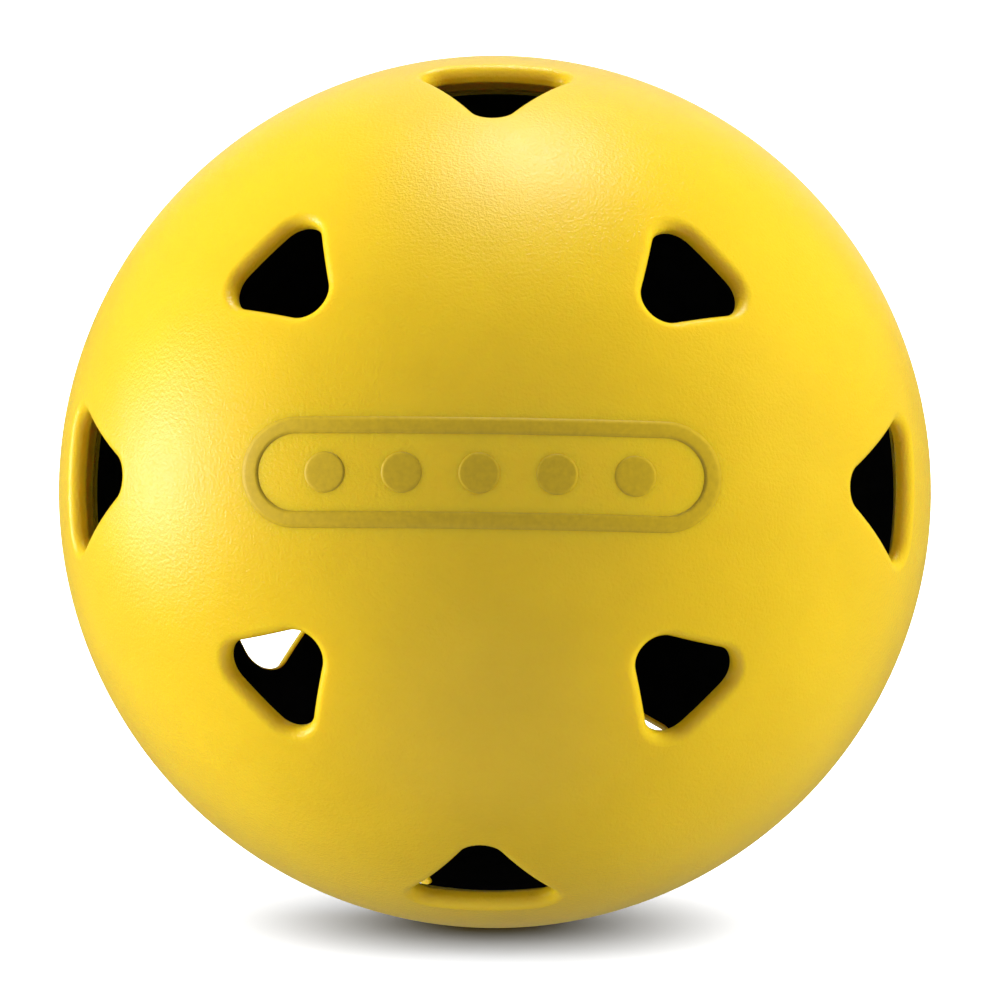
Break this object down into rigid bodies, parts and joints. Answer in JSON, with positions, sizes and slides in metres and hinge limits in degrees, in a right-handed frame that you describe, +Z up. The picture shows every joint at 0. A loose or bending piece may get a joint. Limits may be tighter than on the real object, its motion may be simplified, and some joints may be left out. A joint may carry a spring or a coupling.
{
  "type": "perforated practice ball",
  "caption": "Hollow moulded practice ball with rounded-triangle holes, made of spin-welded half shells with a printed mark at one pole, for paddle and throwing games.",
  "frame": {"origin": "centre of the ball", "axes": "+Z up as the ball lies on a floor; -Y is the side with the printed mark, whose pole leans back 10 degrees above the horizontal; +X is to the right seen from the print side"},
  "size_m": [0.074, 0.074, 0.074],
  "materials": {
    "shell_plastic": "satin moulded polyethylene with a fine grain, warm yellow",
    "weld_plastic": "re-melted shell plastic, slightly darker",
    "print_ink": "matt ink, a darker tone of the shell colour"
  },
  "bodies": {
    "root": {"front_half_shell": "shell_plastic", "rear_half_shell": "shell_plastic", "seam_weld": "weld_plastic", "printed_mark": "print_ink"}
  },
  "joints": []
}
